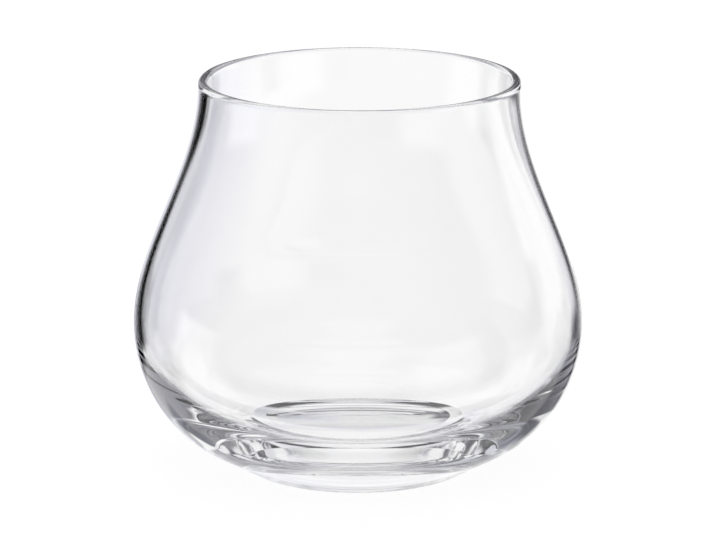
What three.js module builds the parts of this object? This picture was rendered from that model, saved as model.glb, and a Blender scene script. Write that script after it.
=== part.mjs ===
// Tumbler glass: a round-bellied drinking glass with a drawn-in neck and a heavy clear base.
// Millimetres, +Z up. The origin is the centre of the ring that the glass stands on.
import * as THREE from "three";

// Outside of the bowl
const HEIGHT = 87.3; // table to the top of the lip
const BELLY_RADIUS = 50; // the widest point
const BELLY_HEIGHT = 32.15; // of the widest point above the table
const RIM_RADIUS = 35.5; // outside of the lip
const RIM_FLARE = 1; // degrees that the neck leans outwards at the lip
const NECK_PULL = 19.6; // how far the neck keeps the lean of the lip
const SHOULDER_PULL = 17.5; // how far the belly stays upright above its widest point
const FLANK_PULL = 8.15; // how far the belly stays upright below its widest point

// Inside of the bowl
const LIP = 2.1; // thickness of the wall at the half-round lip
const WALL = 1.6; // thickness of the wall at the belly
const INNER_BELLY_HEIGHT = 32.3; // of the widest point of the inside above the table
const INNER_FLANK_PULL = 16.5; // how far the inside stays upright below its widest point
const FLOOR_HEIGHT = 4.3; // of the inside floor's lowest point above the table
const FLOOR_PULL = 33; // how far the floor stays level around its lowest point

// Base
const FOOT_RADIUS = 26.2; // outer edge of the foot
const HEEL_HEIGHT = 5.45; // of the straight part of the heel
const HEEL_ANGLE = 30.3; // degrees that the heel rises above the table
const HEEL_PULL = 12.9; // how far the bowl carries the heel's slope on
const FOOT_EDGE_RADIUS = 1.35; // rounding between the heel and the foot ring
const REST_WIDTH = 3.1; // of the flat ring that touches the table
const PUNT_EDGE_RADIUS = 1.55; // rounding between the foot ring and the hollow inside it
const PUNT_DEPTH = 1.7; // of the hollow under the foot

// Smoothness
const SIDES = 72; // facets round the axis
const FACET_LENGTH = 4; // of the facets along a profile's long curves
const LEAST_FACETS = 4; // along a profile's short curves, such as the lip

const HEEL = THREE.MathUtils.degToRad(HEEL_ANGLE);
const FLARE = THREE.MathUtils.degToRad(RIM_FLARE);
// The bowl stands on the base along a level plane, halfway between the hollow and the inside floor.
const SEAM_HEIGHT = (PUNT_DEPTH + FLOOR_HEIGHT) / 2;

// How far the straight heel reaches from the axis at a height.
function heelRadius(height) {
  return FOOT_RADIUS + height / Math.tan(HEEL);
}

// The points of one line or curve of a profile, without its last, which is where the next one starts.
function facetPoints(curve) {
  const wanted = Math.max(LEAST_FACETS, Math.ceil(curve.getLength() / FACET_LENGTH));
  const facets = curve.isLineCurve ? 1 : wanted;
  return curve.getSpacedPoints(facets).slice(0, -1);
}

// A solid of revolution about +Z from a profile of radius and height that starts and ends on the axis.
function revolve(profile) {
  const points = profile.curves.flatMap(facetPoints);
  points.push(profile.getPoint(1));
  return new THREE.LatheGeometry(points, SIDES).rotateX(Math.PI / 2);
}

// The bowl: up the outside, over the half-round lip and down the inside to the floor.
function bowlProfile() {
  const lipRadius = LIP / 2;
  const lip = new THREE.Vector2(RIM_RADIUS - lipRadius, HEIGHT - lipRadius);
  const across = new THREE.Vector2(Math.cos(FLARE), -Math.sin(FLARE));
  const along = new THREE.Vector2(Math.sin(FLARE), Math.cos(FLARE));
  const outer = lip.clone().addScaledVector(across, lipRadius);
  const inner = lip.clone().addScaledVector(across, -lipRadius);
  const outerNeck = outer.clone().addScaledVector(along, -NECK_PULL);
  const innerNeck = inner.clone().addScaledVector(along, -NECK_PULL);
  const innerBelly = BELLY_RADIUS - WALL;
  const profile = new THREE.Path();
  profile.moveTo(0, SEAM_HEIGHT);
  profile.lineTo(heelRadius(SEAM_HEIGHT), SEAM_HEIGHT);
  profile.lineTo(heelRadius(HEEL_HEIGHT), HEEL_HEIGHT);
  profile.bezierCurveTo(
    heelRadius(HEEL_HEIGHT) + HEEL_PULL * Math.cos(HEEL),
    HEEL_HEIGHT + HEEL_PULL * Math.sin(HEEL),
    BELLY_RADIUS,
    BELLY_HEIGHT - FLANK_PULL,
    BELLY_RADIUS,
    BELLY_HEIGHT,
  );
  profile.bezierCurveTo(
    BELLY_RADIUS,
    BELLY_HEIGHT + SHOULDER_PULL,
    outerNeck.x,
    outerNeck.y,
    outer.x,
    outer.y,
  );
  profile.absarc(lip.x, lip.y, lipRadius, -FLARE, Math.PI - FLARE, false);
  profile.bezierCurveTo(
    innerNeck.x,
    innerNeck.y,
    innerBelly,
    INNER_BELLY_HEIGHT + SHOULDER_PULL,
    innerBelly,
    INNER_BELLY_HEIGHT,
  );
  profile.bezierCurveTo(
    innerBelly,
    INNER_BELLY_HEIGHT - INNER_FLANK_PULL,
    FLOOR_PULL,
    FLOOR_HEIGHT,
    0,
    FLOOR_HEIGHT,
  );
  return profile;
}

// The base: from the crown of the hollow down to the foot ring, up the heel and across the seam.
function baseProfile() {
  const edge = FOOT_EDGE_RADIUS;
  const edgeCentre = FOOT_RADIUS - edge * Math.tan(HEEL / 2);
  const puntEdge = PUNT_EDGE_RADIUS;
  const ringInside = edgeCentre - REST_WIDTH;
  // The hollow is one shallow arc, tangent to its rounded edge.
  const domeRadius = (ringInside ** 2 + PUNT_DEPTH ** 2) / (2 * PUNT_DEPTH) - puntEdge;
  const dome = PUNT_DEPTH - domeRadius;
  const slope = Math.atan2(ringInside, puntEdge - dome);
  const profile = new THREE.Path();
  profile.absarc(0, dome, domeRadius, Math.PI / 2, Math.PI / 2 - slope, true);
  profile.absarc(ringInside, puntEdge, puntEdge, -Math.PI / 2 - slope, -Math.PI / 2, false);
  profile.absarc(edgeCentre, edge, edge, -Math.PI / 2, HEEL - Math.PI / 2, false);
  profile.lineTo(heelRadius(SEAM_HEIGHT), SEAM_HEIGHT);
  profile.lineTo(0, SEAM_HEIGHT);
  return profile;
}

// Clear, faintly grey glass, polished all over.
function clearGlass() {
  return new THREE.MeshStandardMaterial({
    color: 0xf3f5f6,
    roughness: 0.03,
    metalness: 0,
    transparent: true,
    opacity: 0.35,
  });
}

// One named piece of the glass.
function piece(name, profile) {
  const mesh = new THREE.Mesh(revolve(profile), clearGlass());
  mesh.name = name;
  return mesh;
}

const tumbler = new THREE.Group();
tumbler.add(piece("bowl", bowlProfile()));
tumbler.add(piece("base", baseProfile()));

export default tumbler;
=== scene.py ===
"""Clear tumbler glass: a round-bellied drinking glass with a drawn-in neck and a heavy clear base.

The glass is one seamless surface of revolution, worked out with numpy from a profile of arcs and
Bezier curves in millimetres. It stands for the bowl and the base of the CAD frame. The studio has a
white table, light panels that show through the glass, and dark cards that draw its edges.
"""

import logging
import math
from collections.abc import Sequence
from dataclasses import dataclass, field
from enum import Enum

import bpy
import numpy as np
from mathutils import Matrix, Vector


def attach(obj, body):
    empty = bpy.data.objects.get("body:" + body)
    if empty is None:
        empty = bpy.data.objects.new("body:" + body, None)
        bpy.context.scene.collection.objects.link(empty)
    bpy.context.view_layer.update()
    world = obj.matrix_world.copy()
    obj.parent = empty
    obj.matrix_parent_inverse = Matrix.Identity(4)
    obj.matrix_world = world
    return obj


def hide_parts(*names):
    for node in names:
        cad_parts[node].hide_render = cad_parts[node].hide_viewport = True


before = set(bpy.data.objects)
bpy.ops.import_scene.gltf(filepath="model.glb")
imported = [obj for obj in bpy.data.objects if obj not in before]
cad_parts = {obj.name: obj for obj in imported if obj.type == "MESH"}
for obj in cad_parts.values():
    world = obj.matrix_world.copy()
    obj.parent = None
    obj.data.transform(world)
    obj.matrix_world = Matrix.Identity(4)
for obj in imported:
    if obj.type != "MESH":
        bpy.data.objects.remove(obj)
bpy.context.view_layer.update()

LOG = logging.getLogger("tumbler")
MM = 0.001  # in metres
PHOTO_WIDTH = 716  # in pixels
SENSOR_WIDTH = 36.0  # in millimetres
CLIP_START, CLIP_END = 0.05, 20.0  # in metres
MOST_BOUNCES = 48
HALF_TURN = 180.0  # in degrees
STEP_LENGTH = 0.8  # in millimetres, between two points of the profile
LEAST_STEPS = 8  # along a short line of the profile
MIX_FIRST, MIX_SECOND, MIX_RESULT = 6, 7, 2  # the colour sockets of a Mix node


class Tone(Enum):
    """How bright a part of the surroundings is, as a linear colour. The greys are a little cool."""

    WHITE = (1.0, 1.0, 1.0)
    PANEL = (0.95, 0.95, 0.95)
    VEIL = (0.94, 0.94, 1.0)
    PEARL = (0.88, 0.88, 0.91)
    GLOW = (0.80, 0.80, 0.83)
    SHADE = (0.70, 0.70, 0.77)
    ROOM = (0.60, 0.60, 0.65)
    MIST = (0.45, 0.45, 0.50)
    HAZE = (0.36, 0.36, 0.38)
    DUSK = (0.30, 0.30, 0.35)
    SLATE = (0.20, 0.20, 0.235)
    COAL = (0.10, 0.10, 0.118)
    CHARCOAL = (0.04, 0.04, 0.047)
    BLACK = (0.003, 0.003, 0.003)


class Bench:
    """A node tree under construction, with short ways to add and join its nodes."""

    def __init__(self, tree: bpy.types.NodeTree) -> None:
        """Empties the tree.

        Args:
            tree: The node tree of a material or of the world.
        """
        self.tree = tree
        tree.nodes.clear()

    def add(self, kind: str, **settings: object) -> bpy.types.Node:
        """Adds one node.

        Args:
            kind: The node's Blender type name.
            settings: Properties to set on the node.

        Returns:
            The new node.
        """
        node = self.tree.nodes.new(kind)
        for name, value in settings.items():
            setattr(node, name, value)
        return node

    def feed(self, socket: bpy.types.NodeSocket, value: object) -> None:
        """Links a socket to another node's output, or sets it to a plain value.

        Args:
            socket: The input socket.
            value: An output socket, a number or a tuple of numbers.
        """
        if isinstance(value, bpy.types.NodeSocket):
            self.tree.links.new(value, socket)
        else:
            socket.default_value = value

    def math(self, operation: str, *values: object) -> bpy.types.NodeSocket:
        """Adds a Math node and returns its output.

        Args:
            operation: The node's operation.
            values: What feeds its inputs, in order.

        Returns:
            The node's output socket.
        """
        node = self.add("ShaderNodeMath", operation=operation)
        for socket, value in zip(node.inputs, values):
            self.feed(socket, value)
        return node.outputs[0]

    def ease(self, value: object, start: float, end: float) -> bpy.types.NodeSocket:
        """Adds a smooth step from 0 at start to 1 at end, whichever of the two is larger.

        Args:
            value: What is measured.
            start: The value that gives 0.
            end: The value that gives 1.

        Returns:
            The node's output socket.
        """
        node = self.add("ShaderNodeMapRange", interpolation_type="SMOOTHSTEP")
        for name, fed in (("Value", value), ("From Min", start), ("From Max", end)):
            self.feed(node.inputs[name], fed)
        return node.outputs["Result"]

    def blend(self, share: object, first: object, second: object) -> bpy.types.NodeSocket:
        """Mixes two colours.

        Args:
            share: How much of the second colour shows.
            first: The first colour.
            second: The second colour.

        Returns:
            The mixed colour's output socket.
        """
        node = self.add("ShaderNodeMix", data_type="RGBA")
        self.feed(node.inputs["Factor"], share)
        self.feed(node.inputs[MIX_FIRST], first)
        self.feed(node.inputs[MIX_SECOND], second)
        return node.outputs[MIX_RESULT]


def opaque(colour: tuple[float, float, float]) -> tuple[float, float, float, float]:
    """Gives a colour full alpha."""
    return (*colour, 1.0)


def run(length: float) -> np.ndarray:
    """Even steps from 0 towards 1, without the 1, fine enough for a line of this many millimetres."""
    steps = max(LEAST_STEPS, math.ceil(length / STEP_LENGTH))
    return np.linspace(0.0, 1.0, steps, endpoint=False)[:, None]


def line(start: Sequence[float], end: Sequence[float]) -> np.ndarray:
    """Samples a straight line: the start plus a growing share of the way to the end.

    Args:
        start: First point, as radius and height.
        end: Last point, which is left out.

    Returns:
        An array of points, one row each.
    """
    way = np.subtract(end, start)
    return start + run(math.hypot(*way)) * way


def bezier(*corners: Sequence[float]) -> np.ndarray:
    """Samples a cubic Bezier curve: the four corners weighted by the cubic Bernstein polynomials.

    Args:
        corners: First point, its handle, the last point's handle and the last point, which is left out.

    Returns:
        An array of points, one row each.
    """
    first, pull, push, last = (np.asarray(corner, float) for corner in corners)
    t = run(np.hypot(*np.diff(np.array(corners, float), axis=0).T).sum())
    s = 1.0 - t
    return s**3 * first + 3 * s**2 * t * pull + 3 * s * t**2 * push + t**3 * last


def arc(centre: Sequence[float], radius: float, start: float, end: float) -> np.ndarray:
    """Samples an arc: the centre plus the radius times the cosine and sine of evenly spaced angles.

    Args:
        centre: Centre, as radius and height.
        radius: The arc's radius.
        start: First angle, in radians.
        end: Last angle, in radians, which is left out.

    Returns:
        An array of points, one row each.
    """
    angle = start + run(radius * abs(end - start)) * (end - start)
    return np.asarray(centre, float) + radius * np.hstack([np.cos(angle), np.sin(angle)])


@dataclass(frozen=True)
class ClearGlass:
    """Clear polished glass with the faint waviness of blown work and a scuffed foot ring."""

    ior: float = 1.5
    tint: tuple[float, float, float] = (0.997, 0.997, 0.997)
    # The waviness
    wave_scale: float = 60.0
    wave_detail: float = 0.0
    wave_depth: float = 0.00001
    # The scuffs
    scuff_height: float = 0.0001
    scuff_scale: float = 900.0
    scuff_detail: float = 2.0
    scuff_roughness: float = 0.1

    def grain(self, bench: Bench, scale: float, detail: float) -> bpy.types.NodeSocket:
        """Adds cloudy noise on the object's own coordinates.

        Args:
            bench: The material's node tree.
            scale: How fine the noise is, per metre.
            detail: How many finer layers it has.

        Returns:
            The noise, from 0 to 1.
        """
        noise = bench.add("ShaderNodeTexNoise")
        bench.feed(noise.inputs["Vector"], bench.add("ShaderNodeTexCoord").outputs["Object"])
        bench.feed(noise.inputs["Scale"], scale)
        bench.feed(noise.inputs["Detail"], detail)
        return noise.outputs[0]

    def scuffs(self, bench: Bench) -> bpy.types.NodeSocket:
        """Adds the roughness: fine scuffs on the ring that touches the table, and none above it.

        Args:
            bench: The material's node tree.

        Returns:
            The roughness.
        """
        split = bench.add("ShaderNodeSeparateXYZ")
        bench.feed(split.inputs[0], bench.add("ShaderNodeTexCoord").outputs["Object"])
        near = bench.ease(split.outputs["Z"], self.scuff_height, 0.0)
        worn = bench.math("MULTIPLY", near, self.grain(bench, self.scuff_scale, self.scuff_detail))
        return bench.math("MULTIPLY", worn, self.scuff_roughness)

    def material(self) -> bpy.types.Material:
        """Builds the glass material.

        Returns:
            The material.
        """
        material = bpy.data.materials.new("clear_glass")
        material.use_nodes = True
        bench = Bench(material.node_tree)
        waves = bench.add("ShaderNodeBump")
        bench.feed(waves.inputs["Distance"], self.wave_depth)
        bench.feed(waves.inputs["Height"], self.grain(bench, self.wave_scale, self.wave_detail))
        shader = bench.add("ShaderNodeBsdfPrincipled")
        bench.feed(shader.inputs["Base Color"], opaque(self.tint))
        bench.feed(shader.inputs["Roughness"], self.scuffs(bench))
        bench.feed(shader.inputs["Normal"], waves.outputs[0])
        bench.feed(shader.inputs["IOR"], self.ior)
        bench.feed(shader.inputs["Transmission Weight"], 1.0)
        output = bench.add("ShaderNodeOutputMaterial")
        bench.feed(output.inputs["Surface"], shader.outputs["BSDF"])
        return material


@dataclass
class Tumbler:
    """The glass itself: its profile sizes in millimetres, and the surface that they give."""

    # Outside of the bowl, with the lean of the rim in degrees
    height: float = 87.3
    belly_radius: float = 50.0
    belly_height: float = 32.15
    rim_radius: float = 35.5
    rim_flare: float = 1.0
    neck_pull: float = 19.6
    shoulder_pull: float = 17.5
    flank_pull: float = 8.15
    # Inside of the bowl
    wall: float = 1.6
    lip_width: float = 2.1
    inner_belly_height: float = 32.3
    inner_flank_pull: float = 16.5
    floor_height: float = 4.3
    floor_pull: float = 33.0
    # Base, with the slope of the heel in degrees
    foot_radius: float = 26.2
    heel_height: float = 5.45
    heel_angle: float = 30.3
    heel_pull: float = 12.9
    foot_edge_radius: float = 1.35
    rest_width: float = 3.1
    punt_edge_radius: float = 1.55
    punt_depth: float = 1.7
    # Small flaw, smoothness and finish
    mouth_offset: float = 0.4
    sides: int = 256
    finish: ClearGlass = field(default_factory=ClearGlass)

    def underside(self) -> np.ndarray:
        """The hollow under the foot, its rounded edge, the foot ring and the straight heel.

        Returns:
            Points of radius and height, from the axis outwards.
        """
        heel = math.radians(self.heel_angle)
        down = -math.pi / 2
        edge_radius = self.foot_edge_radius
        edge_centre = self.foot_radius - edge_radius * math.tan(heel / 2)
        inside = edge_centre - self.rest_width
        punt_edge = self.punt_edge_radius
        dome_radius = (inside**2 + self.punt_depth**2) / (2 * self.punt_depth) - punt_edge
        dome = self.punt_depth - dome_radius
        slope = math.atan2(inside, punt_edge - dome)
        hollow = arc((0.0, dome), dome_radius, -down, -down - slope)
        hollow_edge = arc((inside, punt_edge), punt_edge, down - slope, down)
        ring = line((inside, 0.0), (edge_centre, 0.0))
        foot_edge = arc((edge_centre, edge_radius), edge_radius, down, down + heel)
        heel_start = (edge_centre + edge_radius * math.sin(heel), edge_radius * (1 - math.cos(heel)))
        straight = line(heel_start, self.seam())
        return np.concatenate([hollow, hollow_edge, ring, foot_edge, straight])

    def seam(self) -> np.ndarray:
        """Where the straight heel ends and the bowl's curve begins, as radius and height."""
        reach = self.heel_height / math.tan(math.radians(self.heel_angle))
        return np.array([self.foot_radius + reach, self.heel_height])

    def bowl(self) -> np.ndarray:
        """Up the outside of the bowl, over the half-round lip and down the inside to the floor's middle.

        Returns:
            Points of radius and height, ending on the axis.
        """
        heel = math.radians(self.heel_angle)
        flare = math.radians(self.rim_flare)
        lip_radius = self.lip_width / 2
        lip = np.array([self.rim_radius - lip_radius, self.height - lip_radius])
        across = np.array([math.cos(flare), -math.sin(flare)])
        along = np.array([math.sin(flare), math.cos(flare)])
        outer, inner = lip + lip_radius * across, lip - lip_radius * across
        inner_belly = self.belly_radius - self.wall
        seam = self.seam()
        belly = (self.belly_radius, self.belly_height)
        flank = bezier(
            seam,
            seam + self.heel_pull * np.array([math.cos(heel), math.sin(heel)]),
            (self.belly_radius, self.belly_height - self.flank_pull),
            belly,
        )
        shoulder = bezier(
            belly,
            (self.belly_radius, self.belly_height + self.shoulder_pull),
            outer - self.neck_pull * along,
            outer,
        )
        rim = arc(lip, lip_radius, -flare, math.pi - flare)
        inside_top = (inner_belly, self.inner_belly_height)
        inner_neck = bezier(
            inner,
            inner - self.neck_pull * along,
            (inner_belly, self.inner_belly_height + self.shoulder_pull),
            inside_top,
        )
        inner_floor = bezier(
            inside_top,
            (inner_belly, self.inner_belly_height - self.inner_flank_pull),
            (self.floor_pull, self.floor_height),
            (0.0, self.floor_height),
        )
        middle = np.array([[0.0, self.floor_height]])
        return np.concatenate([flank, shoulder, rim, inner_neck, inner_floor, middle])

    def surface(self) -> tuple[np.ndarray, np.ndarray, np.ndarray]:
        """Turns the profile about the vertical axis.

        A point is the profile's radius times the cosine and sine of the angle round the axis, at the
        profile's height. Above the belly the axis bends aside by the cube of the height, because the
        mouth is a little off centre. The two ends of the profile lie on the axis, one vertex each.

        Returns:
            Vertices in metres, quads between the rings, and triangles round the two ends.
        """
        profile = np.concatenate([self.underside(), self.bowl()]) * MM
        rings = profile[1:-1]
        angle = np.arange(self.sides) * (2 * math.pi / self.sides)
        belly, top = self.belly_height * MM, self.height * MM
        bend = np.clip((rings[:, 1:] - belly) / (top - belly), 0.0, None) ** 3
        x = rings[:, :1] * np.cos(angle) + self.mouth_offset * MM * bend
        y = rings[:, :1] * np.sin(angle)
        z = np.broadcast_to(rings[:, 1:], x.shape)
        body = np.stack([x, y, z], axis=2).reshape(-1, 3)
        ends = np.array([[0.0, 0.0, profile[0, 1]], [0.0, 0.0, profile[-1, 1]]])
        index = np.arange(len(body)).reshape(len(rings), self.sides)
        after = np.roll(index, -1, axis=1)
        quads = np.stack([index[:-1], after[:-1], after[1:], index[1:]], axis=2).reshape(-1, 4)
        first, last = len(body), len(body) + 1
        under = np.stack([np.full(self.sides, first), after[0], index[0]], axis=1)
        over = np.stack([np.full(self.sides, last), index[-1], after[-1]], axis=1)
        return np.concatenate([body, ends]), quads, np.concatenate([under, over])

    def build(self) -> bpy.types.Object:
        """Makes the glass piece, dresses it and seats it in the frame.

        Returns:
            The glass object.
        """
        vertices, quads, triangles = self.surface()
        mesh = bpy.data.meshes.new("tumbler_glass")
        mesh.from_pydata(vertices.tolist(), [], quads.tolist() + triangles.tolist())
        mesh.polygons.foreach_set("use_smooth", np.ones(len(mesh.polygons), bool))
        mesh.materials.append(self.finish.material())
        mesh.validate()
        glass = bpy.data.objects.new("tumbler_glass", mesh)
        bpy.context.scene.collection.objects.link(glass)
        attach(glass, "root")
        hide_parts("bowl", "base")
        return glass


@dataclass(frozen=True)
class Card:
    """A soft-edged card or light panel in the surroundings, with its sides as directions in degrees.

    Left and right are bearings, from straight behind the glass and growing to the right. Low and high
    are heights above the horizon. Each soft value is how far the edge fades to either side.
    """

    tone: Tone
    left: float
    right: float
    low: float
    high: float
    soft_left: float
    soft_right: float
    soft_low: float
    soft_high: float

    def paint(
        self, bench: Bench, bearing: object, height: object, colour: object
    ) -> bpy.types.NodeSocket:
        """Paints the card over the surroundings.

        Args:
            bench: The world's node tree.
            bearing: The direction's bearing, in degrees.
            height: The direction's height above the horizon, in degrees.
            colour: The surroundings so far.

        Returns:
            The surroundings with this card in them.
        """
        half = (self.right - self.left) / 2
        offset = bench.math("SUBTRACT", bearing, self.left + half)
        turn = bench.math("WRAP", offset, HALF_TURN, -HALF_TURN)
        edges = (
            bench.ease(turn, -half - self.soft_left, -half + self.soft_left),
            bench.ease(turn, half + self.soft_right, half - self.soft_right),
            bench.ease(height, self.low - self.soft_low, self.low + self.soft_low),
            bench.ease(height, self.high + self.soft_high, self.high - self.soft_high),
        )
        share = edges[0]
        for edge in edges[1:]:
            share = bench.math("MULTIPLY", share, edge)
        return bench.blend(share, colour, opaque(self.tone.value))


@dataclass
class Studio:
    """A white table and a dim room, with a light panel behind the glass and dark cards beside it.

    Strips overhead, and painted shade and painted shadow low on the table, draw the rim and the base.
    More panels and cards stand to the sides and behind the camera, so that the glass reads as clear
    glass from those sides too.
    A later card covers an earlier one.
    """

    cards: tuple[Card, ...] = (
        # Strips overhead, for the rim
        Card(Tone.MIST, -60, 60, 18, 48, 8, 8, 1.5, 4),
        Card(Tone.PANEL, -50, 50, 19.5, 32, 8, 8, 1.5, 1.5),
        Card(Tone.CHARCOAL, -60, 60, 36, 44, 8, 8, 1, 1),
        Card(Tone.SLATE, -150, -40, 48, 72, 8, 8, 4, 4),
        Card(Tone.MIST, 40, 150, 48, 72, 8, 8, 4, 4),
        # Above the horizon behind the glass
        Card(Tone.BLACK, -14, 14, 5, 18.5, 2, 2, 1.5, 1.5),
        Card(Tone.GLOW, -33, -15, 2, 23, 3, 2, 2, 3),
        Card(Tone.WHITE, 29, 70, -1, 14, 3, 3, 3, 3),
        # Beside the glass
        Card(Tone.CHARCOAL, -106, -66, -9, 28, 6, 4, 3, 4),
        Card(Tone.DUSK, -66, -50, -11, 45, 3, 3, 3, 6),
        Card(Tone.SLATE, 73, 115, -4, 45, 3, 6, 3, 6),
        Card(Tone.WHITE, 40, 70, -20, 4, 3, 3, 3, 3),
        # Painted shade low on the table, where the dark cards beside the glass shade it and mirror in
        # it, for the base
        Card(Tone.DUSK, -56, -24, -100, -30, 4, 3, 3, 2),
        Card(Tone.DUSK, 21, 44, -100, -18, 3, 4, 3, 3),
        # The light panel straight behind the glass, with a cooler and a greyer left side
        Card(Tone.WHITE, -19, 17, -37, 3, 0.8, 1, 4, 1),
        Card(Tone.VEIL, -19, -4, -30, 3, 0.8, 2, 4, 1),
        Card(Tone.SHADE, -19, -9, -24, 3, 0.8, 6, 4, 1),
        # Dark cards at both sides of that panel
        Card(Tone.BLACK, -33, -18.5, -20.5, -1, 1, 0.8, 1.5, 1.5),
        Card(Tone.BLACK, -42, -32, -17.5, -3, 2, 1, 1.5, 2),
        Card(Tone.CHARCOAL, 18, 27, -14, 0, 1.2, 2, 2, 1.5),
        Card(Tone.COAL, 21, 40, -18, -11, 2, 3, 2, 2),
        Card(Tone.COAL, 17, 24, -26, -13, 2, 2, 2, 2),
        # Painted contact shadow on the table under the foot, and a fainter painted shade just behind it
        Card(Tone.SLATE, -20, 285, -100, -66, 5, 5, 4, 3),
        Card(Tone.PEARL, -24, 24, -46, -35, 4, 4, 2, 2),
        # For the views from the right
        Card(Tone.PANEL, -55, -39, -60, -20, 3, 3, 4, 1.5),
        Card(Tone.CHARCOAL, -72, -60, -33, -5, 4, 4, 3, 4),
        Card(Tone.PANEL, -104, -76, -18, 3, 4, 4, 4, 1.5),
        # A grey behind the camera, so that the belly mirrors little light
        Card(Tone.HAZE, 130, 255, -64, 50, 25, 8, 4, 6),
        # For the view from behind
        Card(Tone.PANEL, 120, 150, -36, 4, 8, 8, 6, 3),
        Card(Tone.SLATE, 98, 114, -28, 0, 5, 5, 3, 3),
        Card(Tone.SLATE, 156, 172, -28, 0, 6, 6, 3, 3),
    )
    # Heights in degrees where the table, the room and the light above it meet
    table_end: float = -24.0
    room_start: float = 2.0
    dark_start: float = 8.0
    light_start: float = 42.0
    light_end: float = 52.0
    # The floor, in metres and brightness
    floor_reach: float = 1.5
    floor_drop: float = 0.0002
    floor_rings: int = 24
    floor_sides: int = 64
    floor_glow: float = 0.93
    floor_paper: float = 0.2

    def build_world(self) -> None:
        """Paints the surroundings that the glass sees, and white behind it for the camera."""
        world = bpy.data.worlds.new("studio")
        world.use_nodes = True
        bpy.context.scene.world = world
        bench = Bench(world.node_tree)
        split = bench.add("ShaderNodeSeparateXYZ")
        bench.feed(split.inputs[0], bench.add("ShaderNodeTexCoord").outputs["Generated"])
        bearing = bench.math("DEGREES", bench.math("ARCTAN2", split.outputs["X"], split.outputs["Y"]))
        height = bench.math("DEGREES", bench.math("ARCSINE", split.outputs["Z"]))
        colour = opaque(Tone.WHITE.value)
        for tone, start, end in (
            (Tone.ROOM, self.table_end, self.room_start),
            (Tone.COAL, self.room_start, self.dark_start),
            (Tone.WHITE, self.light_start, self.light_end),
        ):
            colour = bench.blend(bench.ease(height, start, end), colour, opaque(tone.value))
        for card in self.cards:
            colour = card.paint(bench, bearing, height, colour)
        seen = bench.add("ShaderNodeLightPath").outputs["Is Camera Ray"]
        backdrop = bench.blend(seen, colour, opaque(Tone.WHITE.value))
        background = bench.add("ShaderNodeBackground")
        bench.feed(background.inputs["Color"], backdrop)
        output = bench.add("ShaderNodeOutputWorld")
        bench.feed(output.inputs["Surface"], background.outputs["Background"])

    def floor_material(self) -> bpy.types.Material:
        """White paper with a glow of its own, so that it shows as white and still takes a faint shadow.

        Returns:
            The material.
        """
        material = bpy.data.materials.new("floor_white")
        material.use_nodes = True
        bench = Bench(material.node_tree)
        paper = bench.add("ShaderNodeBsdfDiffuse")
        bench.feed(paper.inputs["Color"], opaque((self.floor_paper,) * 3))
        glow = bench.add("ShaderNodeEmission")
        bench.feed(glow.inputs["Strength"], self.floor_glow)
        both = bench.add("ShaderNodeAddShader")
        bench.feed(both.inputs[0], paper.outputs[0])
        bench.feed(both.inputs[1], glow.outputs[0])
        output = bench.add("ShaderNodeOutputMaterial")
        bench.feed(output.inputs["Surface"], both.outputs[0])
        return material

    def build_floor(self) -> bpy.types.Object:
        """Lays a pale round floor: rings of evenly growing radius, each turned about the vertical axis.

        Returns:
            The floor object.
        """
        rings, sides = self.floor_rings, self.floor_sides
        radius = self.floor_reach * np.linspace(0.0, 1.0, rings + 1)[1:, None]
        angle = np.arange(sides) * (2 * math.pi / sides)
        level = np.zeros((rings, sides))
        grid = np.stack([radius * np.cos(angle), radius * np.sin(angle), level], axis=2).reshape(-1, 3)
        index = np.arange(rings * sides).reshape(rings, sides)
        after = np.roll(index, -1, axis=1)
        quads = np.stack([index[:-1], index[1:], after[1:], after[:-1]], axis=2).reshape(-1, 4)
        fan = np.stack([np.full(sides, len(grid)), index[0], after[0]], axis=1)
        points = np.concatenate([grid, np.zeros((1, 3))])
        mesh = bpy.data.meshes.new("floor")
        mesh.from_pydata(points.tolist(), [], quads.tolist() + fan.tolist())
        mesh.materials.append(self.floor_material())
        floor = bpy.data.objects.new("floor", mesh)
        floor.location.z = -self.floor_drop
        floor.visible_transmission = False
        floor.visible_glossy = False
        bpy.context.scene.collection.objects.link(floor)
        return floor


@dataclass
class PhotoCamera:
    """The camera at the photograph's angle, placed by its distance in millimetres and its elevation."""

    distance: float = 800.0
    elevation: float = 14.64
    aim_height: float = 43.6
    focal_pixels: float = 3593.5

    def build(self) -> bpy.types.Object:
        """Makes the camera and gives it to the scene.

        Returns:
            The camera object.
        """
        data = bpy.data.cameras.new("camera")
        data.sensor_width = SENSOR_WIDTH
        data.lens = self.focal_pixels / PHOTO_WIDTH * SENSOR_WIDTH
        data.clip_start, data.clip_end = CLIP_START, CLIP_END
        camera = bpy.data.objects.new("camera", data)
        tilt = math.radians(self.elevation)
        aim = Vector((0.0, 0.0, self.aim_height * MM))
        back = Vector((0.0, -math.cos(tilt), math.sin(tilt)))
        camera.location = aim + back * (self.distance * MM)
        camera.rotation_euler = (-back).to_track_quat("-Z", "Y").to_euler()
        bpy.context.scene.collection.objects.link(camera)
        bpy.context.scene.camera = camera
        return camera


def light_paths() -> None:
    """Lets light bounce often enough inside the thick base to find its way out."""
    cycles = bpy.context.scene.cycles
    cycles.max_bounces = MOST_BOUNCES
    cycles.glossy_bounces = MOST_BOUNCES
    cycles.transmission_bounces = MOST_BOUNCES


def main() -> None:
    """Builds the camera, the studio and the glass in order."""
    logging.basicConfig(level=logging.INFO)
    bpy.context.scene.view_settings.view_transform = "Standard"
    light_paths()
    camera = PhotoCamera().build()
    LOG.info("camera at %s", tuple(round(x, 3) for x in camera.location))
    studio = Studio()
    studio.build_world()
    floor = studio.build_floor()
    LOG.info("%s laid", floor.name)
    glass = Tumbler().build()
    LOG.info("%s with %d faces", glass.name, len(glass.data.polygons))


if __name__ == "__main__":
    main()
